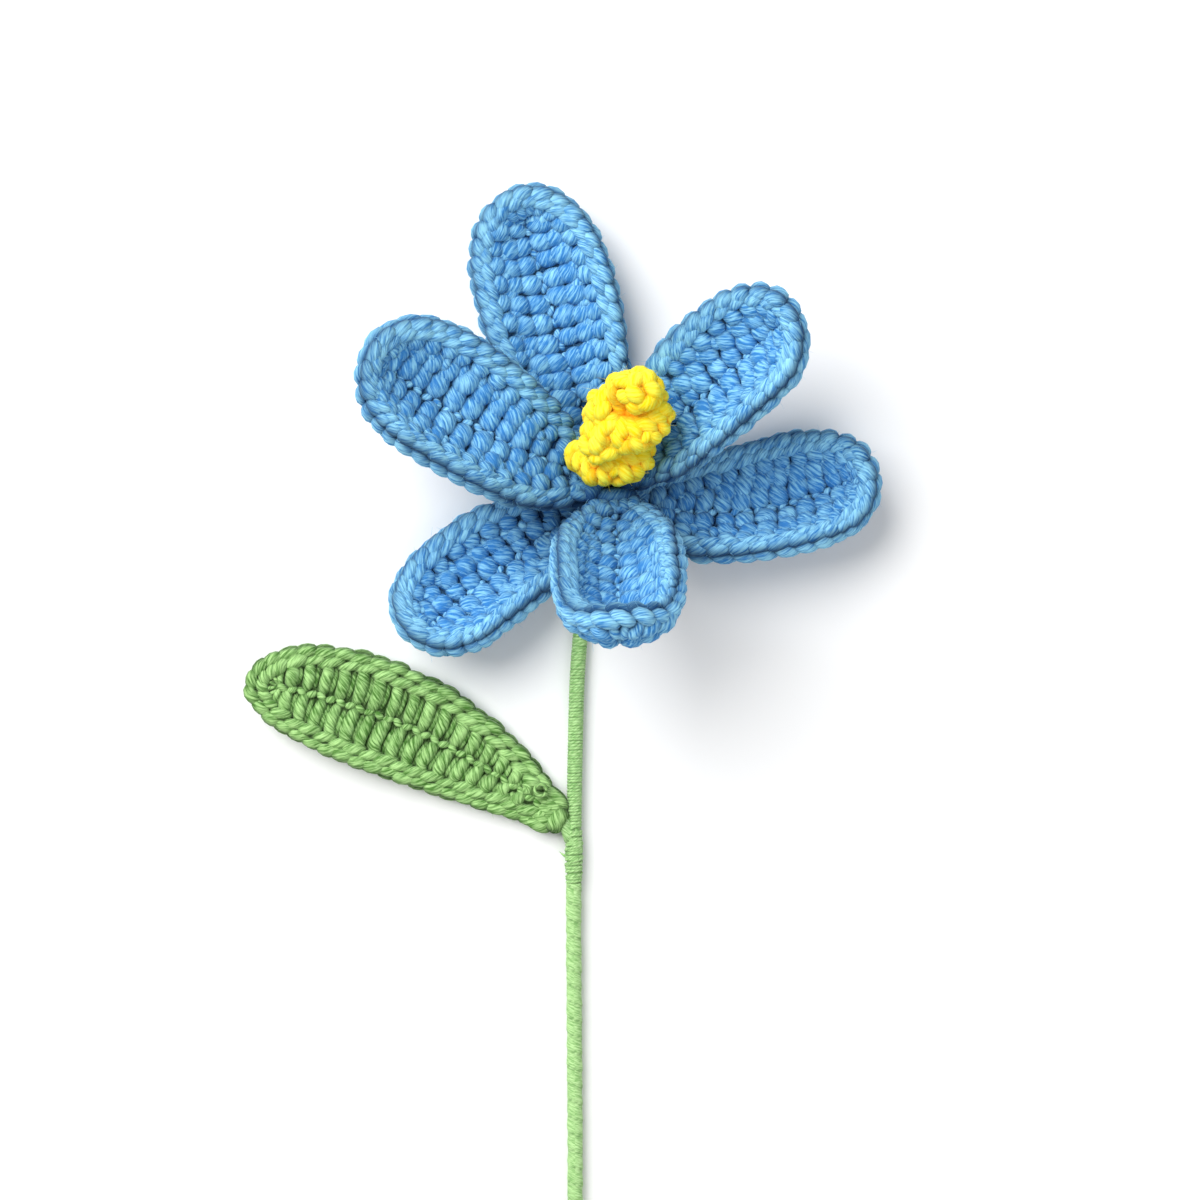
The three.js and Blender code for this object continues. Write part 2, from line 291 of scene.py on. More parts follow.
def tube_quads(rings, sides):
    """A tube's rings i and sides j, and the corners of its faces, for points laid ring by ring."""
    i, j = np.meshgrid(np.arange(rings - 1), np.arange(sides), indexing="ij")
    nxt = (j + 1) % sides
    return i, j, np.stack([i * sides + j, (i + 1) * sides + j,
                           (i + 1) * sides + nxt, i * sides + nxt], -1).reshape(-1, 4)


def turned_uv(around, along, degrees, start):
    """Places on the yarn's pattern, whose fibres lie at an angle to the strand."""
    turn = math.radians(degrees)
    return np.stack([around * math.cos(turn) + along * math.sin(turn) + start[..., 0],
                     along * math.cos(turn) - around * math.sin(turn) + start[..., 1]], -1)


class Yarn:
    """Gathers the strands of one piece and makes them one mesh."""

    def __init__(self):
        self.points = []
        self.corners = []
        self.face_sizes = []
        self.uv = []
        self.tone = []
        self.painted_shade = []
        self.skin = []
        self.count = 0

    def add(self, points, corners, face_sizes, uv, tone, painted_shade):
        self.points.append(points)
        self.corners.append(corners + self.count)
        self.face_sizes.append(face_sizes)
        self.uv.append(uv)
        self.tone.append(tone)
        self.painted_shade.append(painted_shade)
        self.count += len(points)

    def add_tube(self, points, quads, first, uv, tone, painted_shade):
        """Adds a tube with both ends closed. first is its first ring's corners in order."""
        sides = len(first)
        last = first[::-1] + len(points) - sides
        corners = np.concatenate([quads.ravel(), first, last])
        face_sizes = np.concatenate([np.full(len(quads), 4), [sides, sides]])
        self.add(points, corners, face_sizes, uv, np.full(len(points), tone), painted_shade)

    def lay_loops(self, paths, normals, wide, high, twist, tone=0.0):
        """Lays one spindle along each path. paths and normals are (strands, points, 3)."""
        strands = paths.shape[0]
        wide = np.zeros(strands) + wide
        high = np.zeros(strands) + high
        line = smooth_path(paths, LOOP.levels)
        ahead = smooth_path(paths, np.minimum(LOOP.levels + SMALL_STEP, 1))
        behind = smooth_path(paths, np.maximum(LOOP.levels - SMALL_STEP, 0))
        tangent = unit(ahead - behind)
        up = smooth_path(normals, LOOP.levels)
        up = unit(up - tangent * np.sum(up * tangent, -1, keepdims=True))
        side = np.cross(tangent, up)
        length = np.linalg.norm(np.diff(line, axis=1), axis=-1).sum(1)
        ring = LOOP.ring_of
        x = LOOP.points[:, :1] * wide[:, None, None]
        y = LOOP.points[:, 1:2] * high[:, None, None]
        points = line[:, ring] + side[:, ring] * x + up[:, ring] * y
        out = unit(side[:, ring] * x + up[:, ring] * y)
        self.skin.append((points.reshape(-1, 3), out.reshape(-1, 3)))
        per = len(LOOP.points)
        corners = (LOOP.corners + per * np.arange(strands)[:, None]).ravel()
        around = LOOP.corner_angle * ((wide + high) / 2)[:, None]
        along = LOOP.levels[ring][LOOP.corners] * length[:, None]
        start = rng.uniform(0, PATTERN_REACH, (strands, 1, 2))
        uv = turned_uv(around, along, twist, start)
        tones = np.repeat(tone + rng.normal(0, TONE_SPREAD, strands), per)
        # Painted shade: each loop is darker towards its underside and its two ends, where it tucks
        # under its neighbours.
        lift = (LOOP.points[:, 1] + 1) / 2
        middle = 1 - np.abs(LOOP.points[:, 2]) ** 3
        painted_shade = np.tile(np.clip(1 - lift * middle, 0, 1), strands)
        self.add(points.reshape(-1, 3), corners, np.tile(LOOP.face_sizes, strands),
                 uv.reshape(-1, 2), tones, painted_shade)

    def sweep(self, path, up, wide, high, sides, twist=30, tone=0.0):
        """One long strand along path (points, 3) with its upper side towards up."""
        count = len(path)
        wide = np.zeros(count) + wide
        high = np.zeros(count) + high
        tangent = unit(np.gradient(path, axis=0))
        up = unit(up - tangent * np.sum(up * tangent, -1, keepdims=True))
        side = np.cross(tangent, up)
        angle = np.linspace(-np.pi, np.pi, sides, endpoint=False)
        ring = (side[:, None] * (np.sin(angle) * wide[:, None])[..., None]
                + up[:, None] * (np.cos(angle) * high[:, None])[..., None])
        points = (path[:, None] + ring).reshape(-1, 3)
        i, j, quads = tube_quads(count, sides)
        run = run_along(path)
        size = (wide.mean() + high.mean()) / 2
        near = angle[j] * size
        far = near + WHOLE_TURN / sides * size
        around = np.stack([near, near, far, far], -1).ravel()
        along = np.stack([run[i], run[i + 1], run[i + 1], run[i]], -1).ravel()
        start = rng.uniform(0, PATTERN_REACH, 2)
        uv = np.concatenate([turned_uv(around, along, twist, start), np.tile(start, (2 * sides, 1))])
        # Painted shade: each strand is darker round its underside, away from up.
        painted_shade = np.tile((1 - np.cos(angle)) / 2, count)
        self.add_tube(points, quads, np.arange(sides), uv, tone, painted_shade)

    def paint_deeper_shade(self, hidden, tops):
        """Paints shade into the gaps where hidden(points) nears 1, and over the loops' tops by the
        share tops.
        """
        for i, points in enumerate(self.points):
            depth = hidden(points)
            lit = (1 - self.painted_shade[i]) ** (1 + DEEP_GAP_SHADE * depth) * (1 - tops * depth)
            self.painted_shade[i] = 1 - lit

    def add_stray_fibres(self, count, reach):
        """Fine hairs that stand off the loops, as on any spun yarn."""
        spots = np.concatenate([points for points, out in self.skin])
        outs = np.concatenate([out for points, out in self.skin])
        pick = rng.integers(0, len(spots), count)
        way = unit(outs[pick] * 0.7 + rng.normal(0, 0.6, (count, 3)))
        curl = rng.normal(0, 0.45, (count, 3))
        length = reach * rng.uniform(0.5, 1.3, (count, 1, 1))
        share = np.linspace(0, 1, FIBRE_STEPS)[None, :, None]
        line = spots[pick][:, None] + length * (way[:, None] * share + curl[:, None] * share ** 2)
        side = unit(np.cross(way, rng.normal(0, 1, (count, 3))))
        over = np.cross(way, side)
        turn = np.arange(FIBRE_SIDES) * WHOLE_TURN / FIBRE_SIDES
        ring = side[:, None] * np.cos(turn)[:, None] + over[:, None] * np.sin(turn)[:, None]
        thin = FIBRE_RADIUS * (1 - 0.6 * share)
        points = line[:, :, None] + ring[:, None] * thin[:, :, None]
        points[..., 2] = np.maximum(points[..., 2], FIBRE_RADIUS)
        per = FIBRE_STEPS * FIBRE_SIDES
        quads = tube_quads(FIBRE_STEPS, FIBRE_SIDES)[2][:, TURNED_OVER]
        corners = (quads.ravel()[None, :] + per * np.arange(count)[:, None]).ravel()
        self.add(points.reshape(-1, 3), corners, np.full(len(corners) // 4, 4),
                 np.zeros((len(corners), 2)), np.full(count * per, FIBRE_TONE),
                 np.zeros(count * per))

    def make(self, name, material, slot, *nodes):
        mesh = bpy.data.meshes.new(name)
        points = np.concatenate(self.points) + ORIGIN
        points[:, 2] = FLOOR_PRESS * np.logaddexp(0, points[:, 2] / FLOOR_PRESS)
        points = points * MM
        corners = np.concatenate(self.corners)
        sizes = np.concatenate(self.face_sizes)
        mesh.vertices.add(len(points))
        mesh.vertices.foreach_set("co", points.ravel())
        mesh.loops.add(len(corners))
        mesh.loops.foreach_set("vertex_index", corners.astype(np.int32))
        mesh.polygons.add(len(sizes))
        starts = np.concatenate([[0], np.cumsum(sizes)[:-1]])
        mesh.polygons.foreach_set("loop_start", starts.astype(np.int32))
        mesh.polygons.foreach_set("use_smooth", np.ones(len(sizes), bool))
        mesh.uv_layers.new(name="yarn")
        mesh.uv_layers["yarn"].data.foreach_set("uv", np.concatenate(self.uv).ravel())
        for key, values in (("tone", self.tone), ("painted_shade", self.painted_shade)):
            layer = mesh.attributes.new(key, "FLOAT", "POINT")
            layer.data.foreach_set("value", np.concatenate(values).astype(np.float32))
        mesh.update(calc_edges=True)
        mesh.validate()
        mesh.materials.append(material)
        piece = put_in_scene(name, mesh)
        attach(piece, "root")
        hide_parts(*nodes)


# ---------------- yarn materials

def set_inputs(node, values):
    for name, value in values.items():
        node.inputs[name].default_value = value


# The darkest of these colours is the colour of the painted shade.
YARN_INPUTS = (("Shade colour", "Color"), ("Middle", "Color"), ("Light", "Color"),
               ("Fibre spacing", "Float"), ("Tuck shade", "Float"))
YARN_OUTPUTS = (("Colour", "Color"), ("Roughness", "Float"), ("Height", "Float"))
COARSE_FIBRES = (0.8, 0.10, 1.0)  # across the yarn, along it, detail
FINE_FIBRES = (2.1, 0.22, 2.0)
COARSE_SHARE = 0.65
STREAK_LOW = 0.36  # the noise between these two makes the whole range of colour
STREAK_HIGH = 0.64
TONE_SHARE = 0.22
PAINTED_SHADE_POWER = 1.15
ROUGHEST = 0.78
ROUGHNESS_RANGE = 0.12
BUMP_HEIGHT = 0.25
YARN_SPECULAR = 0.08
SHEEN_ROUGHNESS = 0.45
STEEL_GRAIN = 900


def make_yarn_group():
    """Fine fibres along the yarn, their lighter streaks partly painted highlight, with painted shade
    towards the darkest colour where a loop tucks under its neighbours.
    """
    group = bpy.data.node_groups.new("plied yarn", "ShaderNodeTree")
    for way, sockets in (("INPUT", YARN_INPUTS), ("OUTPUT", YARN_OUTPUTS)):
        for name, kind in sockets:
            group.interface.new_socket(name=name, in_out=way, socket_type="NodeSocket" + kind)
    nodes = group.nodes
    links = group.links
    inputs = nodes.new("NodeGroupInput")
    outputs = nodes.new("NodeGroupOutput")

    def math_node(operation, a, b=None, clamp=False):
        node = nodes.new("ShaderNodeMath")
        node.operation = operation
        node.use_clamp = clamp
        for socket, value in zip(node.inputs, (a, b)):
            if isinstance(value, (int, float)):
                socket.default_value = value
            elif value is not None:
                links.new(value, socket)
        return node.outputs[0]

    def mix_colour(factor, a, b):
        node = nodes.new("ShaderNodeMix")
        node.data_type = "RGBA"
        links.new(factor, node.inputs["Factor"])
        links.new(a, node.inputs["A"])
        links.new(b, node.inputs["B"])
        return node.outputs["Result"]

    def fibre_noise(across, along, detail):
        stretch = nodes.new("ShaderNodeVectorMath")
        stretch.operation = "MULTIPLY"
        links.new(spaced.outputs[0], stretch.inputs[0])
        stretch.inputs[1].default_value = (across, along, 1)
        noise = nodes.new("ShaderNodeTexNoise")
        noise.noise_dimensions = "2D"
        set_inputs(noise, {"Scale": 1, "Detail": detail, "Roughness": 0.55})
        links.new(stretch.outputs[0], noise.inputs["Vector"])
        return noise.outputs["Fac"]

    def attribute(name):
        node = nodes.new("ShaderNodeAttribute")
        node.attribute_name = name
        return node.outputs["Fac"]

    lay = nodes.new("ShaderNodeUVMap")
    lay.uv_map = "yarn"
    spaced = nodes.new("ShaderNodeVectorMath")
    spaced.operation = "DIVIDE"
    links.new(lay.outputs["UV"], spaced.inputs[0])
    links.new(inputs.outputs["Fibre spacing"], spaced.inputs[1])
    coarse = math_node("MULTIPLY", fibre_noise(*COARSE_FIBRES), COARSE_SHARE)
    fine = math_node("MULTIPLY", fibre_noise(*FINE_FIBRES), 1 - COARSE_SHARE)
    streak = math_node("ADD", coarse, fine)
    sharp = nodes.new("ShaderNodeMapRange")
    set_inputs(sharp, {"From Min": STREAK_LOW, "From Max": STREAK_HIGH})
    links.new(streak, sharp.inputs["Value"])

    tone = math_node("MULTIPLY", attribute("tone"), TONE_SHARE)
    toned = math_node("ADD", sharp.outputs[0], tone, clamp=True)
    # Partly painted highlight: the lighter end of the fibre streaks stands for light on the fibre
    # ridges, as well as each strand's own tone.
    lit = mix_colour(toned, inputs.outputs["Middle"], inputs.outputs["Light"])
    # Painted shade: the per-point shade attribute mixes the colour towards the darkest of the three
    # colours.
    hidden = math_node("POWER", attribute("painted_shade"), PAINTED_SHADE_POWER)
    shade = math_node("MULTIPLY", hidden, inputs.outputs["Tuck shade"], clamp=True)
    smoother = math_node("MULTIPLY", sharp.outputs[0], -ROUGHNESS_RANGE)
    links.new(mix_colour(shade, lit, inputs.outputs["Shade colour"]), outputs.inputs["Colour"])
    links.new(math_node("ADD", smoother, ROUGHEST), outputs.inputs["Roughness"])
    links.new(streak, outputs.inputs["Height"])
    return group


YARN_GROUP = make_yarn_group()


def new_material(name):
    """A material, its nodes, its links and its Principled shader."""
    material = bpy.data.materials.new(name)
    material.use_nodes = True
    nodes = material.node_tree.nodes
    return material, nodes, material.node_tree.links, nodes["Principled BSDF"]


def yarn_material(name, deep, middle, light, spacing, tuck_shade, sheen, sheen_tint, bump):
    # deep is the colour of the painted shade, and tuck_shade sets how far the painted shade goes
    # towards it.
    material, nodes, links, shader = new_material(name)
    yarn = nodes.new("ShaderNodeGroup")
    yarn.node_tree = YARN_GROUP
    set_inputs(yarn, {"Shade colour": (*deep, 1), "Middle": (*middle, 1), "Light": (*light, 1),
                      "Fibre spacing": spacing, "Tuck shade": tuck_shade})
    relief = nodes.new("ShaderNodeBump")
    set_inputs(relief, {"Strength": bump, "Distance": BUMP_HEIGHT * MM})
    links.new(yarn.outputs["Height"], relief.inputs["Height"])
    links.new(relief.outputs["Normal"], shader.inputs["Normal"])
    links.new(yarn.outputs["Colour"], shader.inputs["Base Color"])
    links.new(yarn.outputs["Roughness"], shader.inputs["Roughness"])
    set_inputs(shader, {"Specular IOR Level": YARN_SPECULAR, "Sheen Weight": sheen,
                        "Sheen Roughness": SHEEN_ROUGHNESS, "Sheen Tint": (*sheen_tint, 1)})
    return material


def wire_material():
    material, nodes, links, shader = new_material("drawn steel wire")
    set_inputs(shader, {"Metallic": 1})
    place = nodes.new("ShaderNodeTexCoord")
    grain = nodes.new("ShaderNodeTexNoise")
    set_inputs(grain, {"Scale": STEEL_GRAIN})
    links.new(place.outputs["Object"], grain.inputs["Vector"])
    tint = nodes.new("ShaderNodeValToRGB")
    tint.color_ramp.elements[0].color = (0.32, 0.32, 0.33, 1)
    tint.color_ramp.elements[1].color = (0.62, 0.62, 0.64, 1)
    links.new(grain.outputs["Fac"], tint.inputs["Fac"])
    links.new(tint.outputs["Color"], shader.inputs["Base Color"])
    rough = nodes.new("ShaderNodeMapRange")
    set_inputs(rough, {"To Min": 0.28, "To Max": 0.5})
    links.new(grain.outputs["Fac"], rough.inputs["Value"])
    links.new(rough.outputs[0], shader.inputs["Roughness"])
    return material


BLUE_YARN = yarn_material(
    "blue milk cotton", (0.001, 0.024, 0.10), (0.042, 0.215, 0.54), (0.31, 0.68, 0.89),
    spacing=0.26, tuck_shade=0.93, sheen=0.08, sheen_tint=(0.6, 0.85, 1), bump=0.9)
LEAF_YARN = yarn_material(
    "green leaf yarn", (0.007, 0.028, 0.004), (0.075, 0.20, 0.036), (0.41, 0.68, 0.255),
    spacing=0.27, tuck_shade=0.9, sheen=0.12, sheen_tint=(0.9, 1, 0.8), bump=0.9)
STEM_THREAD = yarn_material(
    "green stem thread", (0.05, 0.14, 0.03), (0.19, 0.40, 0.12), (0.47, 0.72, 0.32),
    spacing=0.2, tuck_shade=0.75, sheen=0.2, sheen_tint=(0.95, 1, 0.9), bump=0.6)
# The orange darkest colour of this yarn is painted shade with a painted warm glow of light scattered
# in the hollows.
YELLOW_YARN = yarn_material(
    "yellow milk cotton", (0.93, 0.31, 0.0), (0.94, 0.68, 0.004), (1.0, 0.93, 0.08),
    spacing=0.26, tuck_shade=0.75, sheen=0.08, sheen_tint=(1, 0.97, 0.6), bump=0.9)
WIRE = wire_material()


# ---------------- petals

STITCH_PITCH = 3.9
BACKING_GRID = (26, 14)
# The backing sheet is coloured almost wholly in painted shade.
BACKING_SHADE = 0.85
FACE_LIFT = 0.95
RIM_ROOM = 2.4
ROUND_TWO_ROOM = 3.4
SHORTEST_POST = 1.8
HOOKED_POST = 3.5  # a longer post has a hook at its outer end
LONG_POST = 5.2  # a longer post is worked as two loops, one above the other
POST_WIDE = 1.85
POST_HIGH = 1.5
# Along a post: share of its length, lean round the petal, lift off the middle layer.
WHOLE_POST = ((-0.03, 0.16, 0.5, 0.8, 1.03), (-0.5, -0.35, 0.1, 0.35, 0.0),
              (0.2, 1.05, 1.2, 1.0, 0.1))
POST_FOOT = ((-0.03, 0.14, 0.4, 0.6), (-0.6, -0.4, 0.0, 0.5), (0.2, 1.15, 1.2, 0.3))
POST_HEAD = ((0.42, 0.58, 0.85, 1.05), (-0.7, -0.1, 0.4, 0.1), (0.3, 1.25, 1.15, 0.1))
POST_HOOK = ((0.62, 0.78, 0.95, 1.12), (-0.6, -1.1, -1.35, -0.9), (0.9, 1.5, 1.3, 0.2))
RIM_JITTER = 0.12
SEAM_PITCH = 2.3
PETAL_THICK = 1.6
# Centre and reach of the painted shade among the petals' roots.
ROOTS_MIDDLE = HUB + (0, 0, 4)
ROOTS_REACH = 18
# Legs of the edge chain: share of a stitch on, distance in from the edge, height, thickness.
PETAL_RIM = ((0.0, (3.1, 2.15, 1.35, 1.5), (0.5, 1.15, 1.05, 0.2), 1.2),
             (0.5, (1.9, 1.1, 0.2, 0.3), (-0.3, 0.35, 0.3, -0.1), 1.25),
             (0.25, (2.9, 1.9, 1.1, 1.2), (-0.6, -1.25, -1.1, -0.5), 1.2))


def lay_stitch_row(yarn, net, u, b, h, wide, high, twist, tone=0.0, jitter=0.18):
    """Lays loops on a net through control points: u round it, b in from its edge, h high.

    u is (loops, points), and b and h are the same or (points)."""
    u, b, h = np.broadcast_arrays(u, b, h)
    u = u + rng.normal(0, jitter, (u.shape[0], 1)) + rng.normal(0, jitter * 0.7, u.shape)
    b = b + rng.normal(0, jitter, (u.shape[0], 1)) + rng.normal(0, jitter * 0.5, u.shape)
    h = h * rng.normal(1, jitter * 0.6, (u.shape[0], 1))
    path, normal = net.blade.place(net.flat(u, b), h)
    size = rng.normal(1, 0.07, u.shape[0])
    yarn.lay_loops(path, normal * np.sign(h.mean()), wide * size, high * size, twist, tone)


def lay_across(yarn, blade, along, across, up, face, wide, high, twist, tone=0.0):
    """Lays loops through points mm along a blade, across it and up off its middle layer."""
    flat = np.stack(np.broadcast_arrays(along, across), -1)
    path, normal = blade.place(flat, np.broadcast_to(up, flat.shape[:2]))
    yarn.lay_loops(path, normal * face, wide, high, twist, tone)


def local_pitch(net, u, b, pitch):
    """How far apart neighbouring stitches are at b, which shrinks where they fan round."""
    ahead = net.flat(u + pitch / 2, b)
    behind = net.flat(u - pitch / 2, b)
    return np.linalg.norm(ahead - behind, axis=-1)


def lay_round_one(yarn, net, u, face):
    """The long posts from the seam outwards, each a fat loop with a hook at its outer end."""
    outer = RIM_ROOM + ROUND_TWO_ROOM
    inner = net.depth(u) - 0.5
    fits = inner - outer > SHORTEST_POST
    u, inner = u[fits], inner[fits]
    room = inner - outer
    middle = local_pitch(net, u, inner - room * 0.45, STITCH_PITCH)
    wide = np.minimum(POST_WIDE, middle * 0.49)
    long = room > LONG_POST
    for posts, (share, lean, lift) in ((~long, WHOLE_POST), (long, POST_FOOT), (long, POST_HEAD)):
        if not posts.any():
            continue
        b = inner[posts, None] - room[posts, None] * np.array(share)
        h = face * FACE_LIFT * np.array(lift)
        lay_stitch_row(yarn, net, u[posts, None] + np.array(lean) * face, b, h,
                       wide[posts], np.minimum(POST_HIGH, wide[posts]), 62, tone=-0.9)
    hook = room > HOOKED_POST
    share, lean, lift = np.array(POST_HOOK)
    b = inner[hook, None] - room[hook, None] * share
    h = face * FACE_LIFT * lift
    lay_stitch_row(yarn, net, u[hook, None] + lean, b, h, 0.95, 0.95, 55, tone=-0.4)


def lay_round_two(yarn, net, u, face):
    """A row of short plump loops between the posts and the rim."""
    b = RIM_ROOM + ROUND_TWO_ROOM * np.array([1.12, 0.8, 0.35, -0.1])
    lean = np.array([-0.3, 0.25, 0.3, -0.2]) + 0.9
    h = face * FACE_LIFT * np.array([0.1, 1.25, 1.25, 0.3])
    wide = np.minimum(1.65, local_pitch(net, u, RIM_ROOM + 1.5 + 0 * u, STITCH_PITCH) * 0.46)
    lay_stitch_row(yarn, net, u[:, None] + lean, b, h, wide, np.minimum(1.4, wide), 58, tone=-0.5)


def lay_rim_legs(yarn, net, u, pitch, b, h, thick, tone=0.45):
    """One leg of every chain stitch along the edge, slanting from b[0] in to b[-1]."""
    run = pitch * np.array([-0.62, -0.15, 0.42, 0.85])
    lay_stitch_row(yarn, net, u[:, None] + run, b, h, thick, thick * 0.92, 35, tone, RIM_JITTER)


def lay_petal_rim(yarn, net, u, pitch):
    """The chain along the edge: thick legs side by side, in front, along the edge and behind."""
    for shift, b, h, thick in PETAL_RIM:
        lay_rim_legs(yarn, net, u + pitch * shift, pitch, b, h, thick)


def lay_seam(yarn, net, pitch, face):
    """Small crossings down the middle, where the posts of both sides share a chain."""
    x = np.arange(net.seam_from + 2, net.seam_to, pitch)[:, None]
    flip = np.where(np.arange(len(x)) % 2, 1.0, -1.0)[:, None]
    ends = np.array([-1.0, -0.3, 0.4, 1.0])
    up = face * np.array([0.5, 1.25, 1.25, 0.5])
    lay_across(yarn, net.blade, x + ends * 0.9, flip * ends * 0.55, up, face, 0.62, 0.6, 50)


def lay_backing(yarn, blade, thickness, inset):
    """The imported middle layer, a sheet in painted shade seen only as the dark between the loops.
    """
    rows, columns = BACKING_GRID
    x = np.sin(np.linspace(0, np.pi / 2, rows + 1)) * (1 - inset / blade.length) + 0.005
    v = np.linspace(-1, 1, columns + 1)
    width = np.maximum(blade.width_at(x) - inset, 0.4)
    flat = np.stack(np.broadcast_arrays(x[:, None] * blade.length, width[:, None] * v), -1)
    up = np.full(flat.shape[:2], thickness / 2)
    points = np.concatenate([blade.place(flat, side * up)[0].reshape(-1, 3) for side in (1, -1)])
    count = len(points)
    top, back = np.arange(count).reshape(2, rows + 1, columns + 1)
    walls = ((top[:-1, :-1], top[1:, :-1], top[1:, 1:], top[:-1, 1:]),
             (back[:-1, :-1], back[:-1, 1:], back[1:, 1:], back[1:, :-1]),
             (top[:-1, 0], back[:-1, 0], back[1:, 0], top[1:, 0]),
             (top[:-1, -1], top[1:, -1], back[1:, -1], back[:-1, -1]),
             (top[0, :-1], top[0, 1:], back[0, 1:], back[0, :-1]),
             (top[-1, :-1], back[-1, :-1], back[-1, 1:], top[-1, 1:]))
    corners = np.concatenate([np.stack(wall, -1).ravel() for wall in walls])
    uv = np.tile(flat.reshape(-1, 2), (2, 1))[corners]
    yarn.add(points, corners, np.full(len(corners) // 4, 4), uv, np.zeros(count),
             np.full(count, BACKING_SHADE))


def lay_root(yarn, blade, thick, reach):
    """Loops drawn across the root, over the ends of the wire in the edge."""
    along = np.array([[-1.3], [-0.7], [0.4]])
    across = blade.root_half_width * reach * np.array([-1.0, -0.4, 0.4, 1.0])
    up = thick * np.array([[0.0], [0.9], [-0.9]])
    lay_across(yarn, blade, along, across, up, 1, 1.5, thick, 55, tone=-0.3)


def lay_gathers(yarn, blade, thick):
    """Strands drawn together where the root meets the first stitches, on both faces."""
    along = np.array([-1.1, 0.7, 2.6, 4.6])
    fan = np.array([0.8, 1.0, 1.08, 1.2])
    across = blade.root_half_width * np.linspace(-1.08, 1.08, 5)[:, None] * fan
    for face in (1, -1):
        up = face * thick * np.array([0.2, 0.8, 0.85, 0.3])
        lay_across(yarn, blade, along, across, up, face, 1.0, 0.85, 45, tone=-0.2)


def shade_near_hub(points):
    """How far a point lies down among the petals' roots, from 0 to 1: the weight of the painted
    shade there.
    """
    distance = np.linalg.norm(points - ROOTS_MIDDLE, axis=-1)
    return np.clip(1.4 - distance / ROOTS_REACH, 0, 1)


def crochet_petal(name):
    blade = Blade(PETALS[name], PETAL_ROOT_HALF_WIDTH)
    net = Net(blade, 3.0, blade.length * 0.87, 1.0)
    yarn = Yarn()
    u, pitch = net.stitches(STITCH_PITCH)
    for face in (1, -1):
        lay_round_one(yarn, net, u, face)
        lay_round_two(yarn, net, u, face)
        lay_seam(yarn, net, SEAM_PITCH, face)
    lay_petal_rim(yarn, net, u, pitch)
    lay_root(yarn, blade, PETAL_THICK, 1.3)
    lay_gathers(yarn, blade, PETAL_THICK)
    lay_backing(yarn, blade, PETAL_THICK, 1.6)
    # Painted shade, deeper down among the petals' roots.
    yarn.paint_deeper_shade(shade_near_hub, 0.6)
    yarn.add_stray_fibres(1100, 1.0)
    yarn.make(name + "_crochet", BLUE_YARN, "blue_yarn", name)


for petal_name in PETALS:
    crochet_petal(petal_name)


# ---------------- leaf

LEAF_PITCH = 3.25
LEAF_RIM_ROOM = 3.3
SHORTEST_RIB = 1.2
LEAF_SEAM_PITCH = 1.9
# A rib's two strands: share of its length, lean round the leaf, height; then the greatest
# half width, its share of the room between ribs, the twist and the tone.
LEAF_RIB = (
    ((-0.04, 0.1, 0.4, 0.75, 0.95, 1.12), (-0.25, -0.1, 0.1, 0.1, -0.35, -0.9),
     (0.2, 0.95, 1.15, 1.05, 0.8, 0.1), 1.1, 0.37, 58, 0.0),
    ((0.05, 0.3, 0.65, 1.0), (1.15, 1.45, 1.6, 1.3), (0.1, 0.55, 0.6, 0.1), 0.66, 0.22, 50, -0.5),
)
LEAF_RING_MIDDLE = (-12.6, -55.6, 5.4)
LEAF_RING_RADIUS = 1.1
LEAF_RING_THICK = 0.36


def lay_leaf_ribs(yarn, net, u, face):
    """Tall rope-like ribs, each with a thinner strand lying beside it."""
    inner = net.depth(u) - 0.35
    fits = inner - LEAF_RIM_ROOM > SHORTEST_RIB
    u, inner = u[fits], inner[fits]
    room = inner - LEAF_RIM_ROOM
    middle = local_pitch(net, u, inner - room * 0.5, LEAF_PITCH)
    for share, lean, lift, widest, of_pitch, twist, tone in LEAF_RIB:
        b = inner[:, None] - room[:, None] * np.array(share)
        wide = np.minimum(widest, middle * of_pitch)
        lay_stitch_row(yarn, net, u[:, None] + face * np.array(lean), b, face * np.array(lift),
                       wide, wide, twist, tone, RIM_JITTER)


def lay_leaf_rim(yarn, net, u, pitch):
    """A slanting braid round the ribs, and the doubled edge beyond it."""
    braid = (3.7, 3.1, 2.3, 2.1)
    edge = (1.5, 1.0, 0.75, 1.0)
    for face in (1, -1):
        lay_rim_legs(yarn, net, u, pitch, braid, face * np.array([0.3, 1.0, 1.05, 0.3]), 0.95)
        lay_rim_legs(yarn, net, u + pitch / 2, pitch, edge,
                     face * np.array([0.0, 0.55, 0.6, 0.1]), 0.95, tone=0.0)


def lay_leaf_ring(yarn):
    """The end of the yarn, left as a small ring on the leaf near its root."""
    turn = np.linspace(0, 1.85 * np.pi, 26)
    path = LEAF_RING_MIDDLE + np.stack([
        LEAF_RING_RADIUS * np.cos(turn), LEAF_RING_RADIUS * np.sin(turn),
        -0.9 * (turn / turn[-1] - 0.5) ** 2], -1)
    yarn.sweep(path, UPWARDS, LEAF_RING_THICK, LEAF_RING_THICK, sides=8, tone=0.6)


